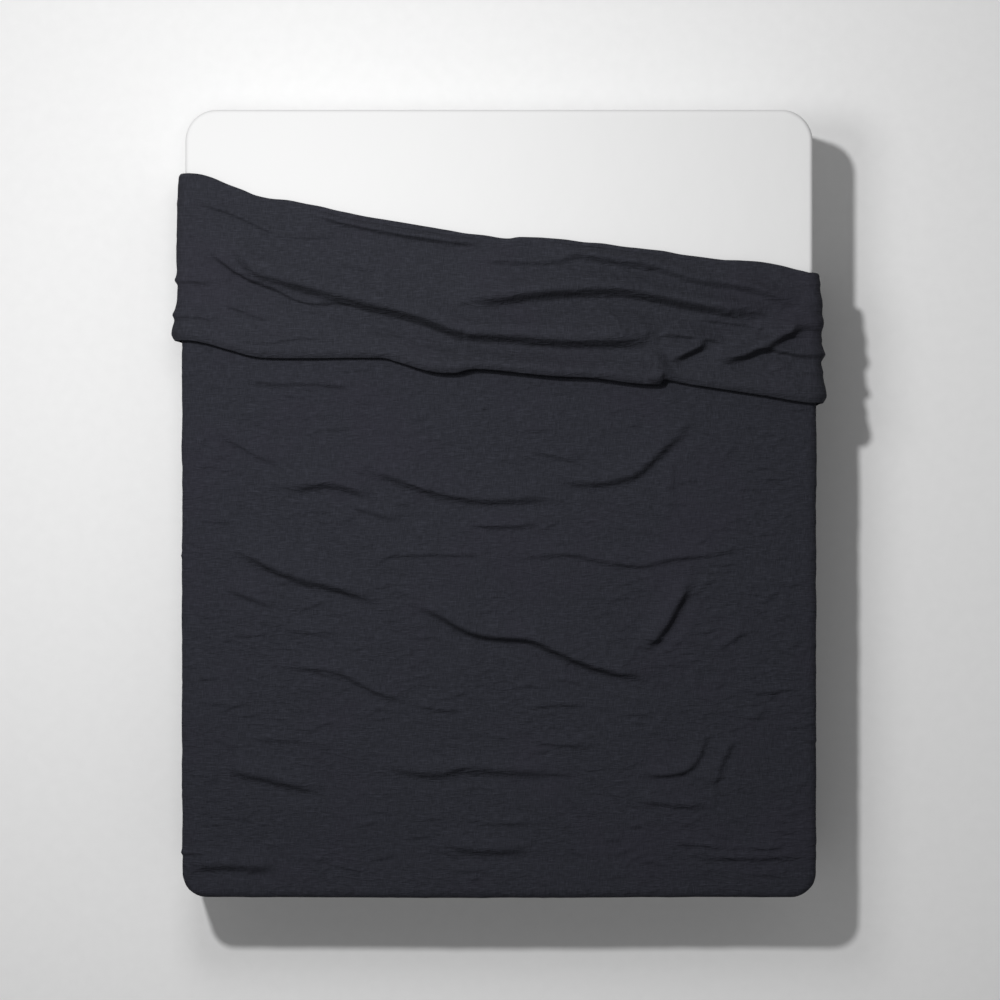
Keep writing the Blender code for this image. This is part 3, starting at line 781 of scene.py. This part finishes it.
# %% The mouth's strip
def make_mouth_strip():
    made = new_cloth()
    x, z = np.meshgrid(spread(strip_low.x, strip_high.x, 0.012),
                       spread(strip_low.z, strip_high.z, 0.004))
    cloth = np.stack([x, z - 1], axis=-1)
    wave = 0.0003 * soft_noise(x, z, 0.05, 0.03, 71)
    for face, depth in (("outer", strip_low.y), ("inner", strip_high.y)):
        y = depth - (wave if face == "outer" else 0)
        add_grid(made, np.stack([x, y + 0 * x, z], axis=-1), cloth)
    close_rim(made)
    piece = finish_piece("mouth_strip_cloth", made, "mouth")
    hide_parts("mouth_strip")
    return piece


mouth_strip = make_mouth_strip()

# %% [markdown]
# The display stands on a plain pale floor. A white mattress form carries the duvet; neither is part
# of the duvet.

# %% The floor and the mattress form
def make_form():
    made = bmesh.new()
    bmesh.ops.create_cube(made, size=1)
    low, high = -MATTRESS_HEIGHT, -FORM_GAP
    bmesh.ops.scale(made, verts=made.verts,
                    vec=(2 * HALF_WIDTH - 0.001, 2 * HALF_LENGTH - 0.001, high - low))
    bmesh.ops.translate(made, verts=made.verts, vec=(0, 0, (high + low) / 2))
    upright = [edge for edge in made.edges if abs(edge.verts[0].co.z - edge.verts[1].co.z) > 0.1]
    head = [edge for edge in upright if edge.verts[0].co.y > 0]
    foot = [edge for edge in upright if edge.verts[0].co.y < 0]
    bmesh.ops.bevel(made, geom=head, offset=HEAD_CORNER, affect="EDGES", segments=12,
                    profile=0.5, material=-1)
    bmesh.ops.bevel(made, geom=foot, offset=FOOT_CORNER, affect="EDGES", segments=10, profile=0.5,
                    material=-1)
    top_edges = [edge for edge in made.edges
                 if all(abs(vert.co.z - high) < 1e-5 for vert in edge.verts)]
    bmesh.ops.bevel(made, geom=top_edges, offset=EDGE, affect="EDGES", segments=6, profile=0.5,
                    material=-1)
    bmesh.ops.recalc_face_normals(made, faces=made.faces)
    mesh = bpy.data.meshes.new("mattress_form")
    made.to_mesh(mesh)
    made.free()
    mesh.shade_smooth()
    mesh.set_sharp_from_angle(angle=radians(40))
    form = bpy.data.objects.new("mattress_form", mesh)
    bpy.context.scene.collection.objects.link(form)
    return form


def make_floor():
    made = bmesh.new()
    bmesh.ops.create_grid(made, x_segments=1, y_segments=1, size=30)
    bmesh.ops.translate(made, verts=made.verts, vec=(0, 0, -MATTRESS_HEIGHT))
    mesh = bpy.data.meshes.new("floor")
    made.to_mesh(mesh)
    made.free()
    floor = bpy.data.objects.new("floor", mesh)
    bpy.context.scene.collection.objects.link(floor)
    return floor


mattress_form = make_form()
floor = make_floor()

# %% [markdown]
# The camera looks straight down from high up through a long lens, so the bed's sides don't show.

# %% Camera
camera_data = bpy.data.cameras.new("overhead_camera")
camera_data.type = "PERSP"
camera_data.lens = 100
camera_data.sensor_width = 36
camera_data.clip_end = 60
camera = bpy.data.objects.new("overhead_camera", camera_data)
camera.location = (0.0024, 0.005, 7.07)
bpy.context.scene.collection.objects.link(camera)
bpy.context.scene.camera = camera

# %% [markdown]
# Two lamps stand high at the upper left. The far one is small enough to give each crease a shadow
# on its foot side, the near one makes the head end a little lighter than the foot, and a pale
# world fills the shadows.

# %% Lights
def add_lamp(name, place, power, size):
    data = bpy.data.lights.new(name, "AREA")
    data.energy = power
    data.shape = "DISK"
    data.size = size
    lamp = bpy.data.objects.new(name, data)
    lamp.location = place
    lamp.rotation_euler = (-Vector(place)).to_track_quat("-Z", "Y").to_euler()
    bpy.context.scene.collection.objects.link(lamp)
    return lamp


key_way = Vector((-0.097, 0.114, 0.30)).normalized()
add_lamp("window_lamp", key_way * 5.0, 150, 0.30)
add_lamp("near_lamp", key_way * 2.2, 17, 0.80)
world = bpy.data.worlds.new("studio")
world.use_nodes = True
world.node_tree.nodes["Background"].inputs["Color"].default_value = (1, 1, 1, 1)
world.node_tree.nodes["Background"].inputs["Strength"].default_value = 0.26
bpy.context.scene.world = world
bpy.context.scene.view_settings.view_transform = "Standard"

# %% [markdown]
# Shader maths is easier to read as arithmetic. This small class wraps a socket, so that adding or
# multiplying two of them adds the Math node that does it.

# %% A socket that does arithmetic
class Value:
    def __init__(self, material, socket):
        self.material, self.socket = material, socket

    def maths(self, operation, *values, clamp=False):
        return self.material.node("ShaderNodeMath", {"operation": operation, "use_clamp": clamp},
                                  dict(enumerate(values)))

    def __add__(self, other):
        return self.maths("ADD", self, other)

    def __radd__(self, other):
        return self.maths("ADD", other, self)

    def __sub__(self, other):
        return self.maths("SUBTRACT", self, other)

    def __rsub__(self, other):
        return self.maths("SUBTRACT", other, self)

    def __mul__(self, other):
        return self.maths("MULTIPLY", self, other)

    def __rmul__(self, other):
        return self.maths("MULTIPLY", other, self)

    def __pow__(self, other):
        return self.maths("POWER", self, other)

    def size(self):
        return self.maths("ABSOLUTE", self)

    def limited(self):
        return self.maths("ADD", self, 0.0, clamp=True)

    def ramp(self, low, high, start=0.0, stop=1.0):
        """The value carried from one range to another, held at the ends."""
        return self.material.node("ShaderNodeMapRange", {"interpolation_type": "SMOOTHSTEP"}, {
            "Value": self, "From Min": low, "From Max": high, "To Min": start, "To Max": stop})


class Finish:
    """A material, its node tree, and one method that adds any node."""

    def __init__(self, name, base_color=(0.8, 0.8, 0.8), roughness=0.8, **fixed):
        self.data = bpy.data.materials.new(name)
        self.data.use_nodes = True
        self.tree = self.data.node_tree
        self.shader = self.tree.nodes["Principled BSDF"]
        self.set("Base Color", (*base_color, 1))
        self.set("Roughness", roughness)
        self.data.diffuse_color = (*base_color, 1)
        for socket, value in fixed.items():
            self.set(socket.replace("_", " "), value)

    def set(self, socket, value):
        if isinstance(value, Value):
            self.tree.links.new(value.socket, self.shader.inputs[socket])
        else:
            self.shader.inputs[socket].default_value = value

    def node(self, kind, settings=None, inputs=None, output=0):
        made = self.tree.nodes.new(kind)
        for name, setting in (settings or {}).items():
            setattr(made, name, setting)
        for socket, value in (inputs or {}).items():
            if isinstance(value, Value):
                self.tree.links.new(value.socket, made.inputs[socket])
            else:
                made.inputs[socket].default_value = value
        return Value(self, made.outputs[output])

    def cloth(self, scale=(1, 1, 1), turn=0.0):
        """Places on the flat cloth, in metres, stretched by the scale."""
        spot = self.node("ShaderNodeAttribute", {"attribute_name": "cloth"}, output="Vector")
        return self.node("ShaderNodeMapping", {}, {
            "Vector": spot, "Scale": scale, "Rotation": (0, 0, turn)})

    def solid(self, scale=(1, 1, 1)):
        spot = self.node("ShaderNodeTexCoord", output="Object")
        return self.node("ShaderNodeMapping", {}, {"Vector": spot, "Scale": scale})

    def noise(self, place, scale, detail=2.0, roughness=0.5):
        return self.node("ShaderNodeTexNoise", {}, {
            "Vector": place, "Scale": scale, "Detail": detail, "Roughness": roughness})

    def blend(self, share, first, second):
        """One colour turning into another."""
        return self.node("ShaderNodeMix", {"data_type": "RGBA"},
                         {0: share, 6: first, 7: second}, output=2)

    def bump(self, height, distance, strength=1.0):
        normal = self.node("ShaderNodeBump", {}, {
            "Height": height, "Distance": distance, "Strength": strength})
        self.set("Normal", normal)


# %% [markdown]
# The linen is a loose slub weave: yarns that swell and thin as they run, both ways across the
# cloth. Washing leaves it with fine crumples and a faint uneven blue-violet dye. Slubs and crumples
# are bump, because they are finer than the mesh. The crumples also lighten and darken the colour,
# as a painted highlight on their crests and painted shade in their hollows. The creases themselves
# are geometry.

# %% The linen
def linen(name, colour):
    finish = Finish(name, colour, 0.95, Specular_IOR_Level=0.12)
    warp = finish.noise(finish.cloth((1, 0.06, 1)), 800, 1.0)
    weft = finish.noise(finish.cloth((0.06, 1, 1)), 800, 1.0)
    slubs = finish.noise(finish.cloth((0.10, 1, 1)), 280, 2.0).ramp(0.52, 0.74)
    long_slubs = finish.noise(finish.cloth((1, 0.10, 1)), 280, 2.0).ramp(0.54, 0.76)
    patches = finish.noise(finish.cloth((0.7, 1, 1)), 7.0, 2.0)
    across = 1 - (finish.noise(finish.cloth((0.28, 1, 1)), 62, 2.0, 0.55) * 2 - 1).size() * 3.2
    along = 1 - (finish.noise(finish.cloth((1, 0.35, 1), 0.1), 55, 2.0, 0.55) * 2 - 1).size() * 3.2
    pinch = across.limited() ** 2 * patches.ramp(0.30, 0.55)
    pinch = pinch + along.limited() ** 2 * patches.ramp(0.62, 0.42) * 0.7
    cells = finish.node("ShaderNodeTexVoronoi", {"feature": "DISTANCE_TO_EDGE"}, {
        "Vector": finish.cloth((0.7, 1, 1), 0.15), "Scale": 24.0})
    facets = (1 - cells.ramp(0.0, 0.16)) * patches.ramp(0.50, 0.64)
    crumple = finish.noise(finish.cloth((0.55, 1, 1)), 120, 3.0, 0.65)
    soft = finish.noise(finish.cloth((0.6, 1, 1)), 30, 3.0, 0.55)
    dye = finish.noise(finish.cloth(), 3.0, 3.0, 0.6)
    light = tuple(1.30 * part for part in colour[:2]) + (1.32 * colour[2],)
    dark = tuple(0.72 * part for part in colour)
    violet = (1.08 * colour[0], 0.93 * colour[1], 1.06 * colour[2])
    # The colour's tone follows the yarns and slubs, and also the crumple noise that the bump uses:
    # painted highlight on the crumples' crests, painted shade in their hollows.
    yarn_and_crumple_shade = (warp + weft) * 0.5 + slubs * 0.20 + long_slubs * 0.12 + crumple * 0.30 - 0.18
    shade = finish.blend(yarn_and_crumple_shade.ramp(0.30, 0.75), (*dark, 1), (*light, 1))
    tinted = finish.blend(dye.ramp(0.45, 0.70, 0.0, 0.30), shade, (*violet, 1))
    finish.set("Base Color", tinted)
    finish.set("Roughness", yarn_and_crumple_shade.ramp(0.3, 0.8, 0.97, 0.90))
    height = (warp + weft) * 0.10 + slubs * 0.12 + long_slubs * 0.08
    height = height + pinch * 0.40 + crumple * 0.24 + soft * 0.35 + facets * 0.45
    finish.bump(height, 0.0026, 1.0)
    return finish.data


COVER = (0.0220, 0.0230, 0.0298)
# The cover's under side is the same linen as its top. The turn-down, its ends and the fold's rolls
# get a copy painted about a tenth lighter: painted light on the head end.
COVER_PAINTED_LIGHTER = (0.0240, 0.0250, 0.0318)
cover_linen = linen("cover_linen", COVER)
turn_down_linen_painted_lighter = linen("cover_inside_linen", COVER_PAINTED_LIGHTER)
for piece in (duvet_body, mouth_strip):
    piece.data.materials.append(cover_linen)
for piece in (turn_down, left_end, right_end, fold_roll, left_roll, right_roll):
    piece.data.materials.append(turn_down_linen_painted_lighter)

# %% [markdown]
# The pieces that stay as the frame has them are small: bands, ties, loops, studs and the label.
# They get the same care as the cloth, on Object coordinates, since they lie square to the axes.

# %% Trim finishes
def tape(name, colour):
    """Narrow cotton tape in a fine herringbone."""
    finish = Finish(name, colour, 0.9, Sheen_Weight=0.05)
    ribs = finish.node("ShaderNodeTexWave", {"bands_direction": "DIAGONAL"}, {
        "Vector": finish.solid(), "Scale": 420.0, "Distortion": 0.6, "Detail": 1.0})
    fuzz = finish.noise(finish.solid(), 700, 2.0)
    shade = finish.blend(ribs * 0.6 + fuzz * 0.4, (*[0.78 * part for part in colour], 1),
                         (*[1.12 * part for part in colour], 1))
    finish.set("Base Color", shade)
    finish.bump(ribs * 0.7 + fuzz * 0.3, 0.0002, 0.8)
    return finish.data


def resin(name):
    """A moulded resin, cloudy inside and lightly scuffed."""
    finish = Finish(name, (0.62, 0.63, 0.65), 0.28, IOR=1.5, Transmission_Weight=0.35)
    scuffs = finish.noise(finish.solid((1, 1, 4)), 600, 3.0)
    finish.set("Roughness", scuffs.ramp(0.35, 0.75, 0.22, 0.45))
    cloud = finish.noise(finish.solid(), 160, 2.0)
    finish.set("Base Color", finish.blend(cloud, (0.56, 0.57, 0.60, 1), (0.70, 0.71, 0.72, 1)))
    finish.bump(scuffs, 0.0001, 0.4)
    return finish.data


def satin(name):
    """A woven satin label, blank, with a fine cross rib."""
    finish = Finish(name, (0.72, 0.71, 0.68), 0.42, Sheen_Weight=0.2)
    rib = finish.node("ShaderNodeTexWave", {"bands_direction": "Z"}, {
        "Vector": finish.solid(), "Scale": 700.0, "Distortion": 0.2})
    finish.set("Base Color", finish.blend(rib, (0.66, 0.65, 0.62, 1), (0.76, 0.75, 0.72, 1)))
    finish.bump(rib, 0.0001, 0.5)
    return finish.data


cord = tape("cotton_tape", (0.58, 0.57, 0.53))
TRIM = {
    "loop": cord, "tie": cord, "press": resin("clear_resin"),
    "label": satin("label_satin"), "band": tape("band_tape", (0.075, 0.078, 0.088)),
}
hidden_cloth = tape("plain_lining", COVER)
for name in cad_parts:
    kind = next((word for word in TRIM if word in name), None)
    finish = TRIM[kind] if kind else hidden_cloth
    obj = bpy.data.objects[name]
    obj.data.materials.clear()
    obj.data.materials.append(finish)

# %% The stage's plain finishes
sheet_white = Finish("stage_white", (0.705, 0.705, 0.705), 0.85)
weave = sheet_white.noise(sheet_white.solid(), 9, 3.0)
sheet_white.bump(weave, 0.004, 0.5)
floor_pale = Finish("stage_floor", (0.82, 0.82, 0.82), 0.9)
grain = floor_pale.noise(floor_pale.solid(), 30, 2.0)
floor_pale.set("Base Color", floor_pale.blend(grain, (0.80, 0.80, 0.80, 1), (0.84, 0.84, 0.84, 1)))
mattress_form.data.materials.append(sheet_white.data)
floor.data.materials.append(floor_pale.data)

# %% [markdown]
# Each sheet's area, one layer of it, is printed.

# %% Areas of the sheets
def measure_cloth(piece):
    """Half the closed piece's surface: the area of one layer."""
    made = bmesh.new()
    made.from_mesh(piece.data)
    area = sum(face.calc_area() for face in made.faces) / 2
    made.free()
    return area


for piece in (duvet_body, turn_down, left_end, right_end, mouth_strip):
    print(f"{piece.name}: one layer is {measure_cloth(piece):.3f} square metres")
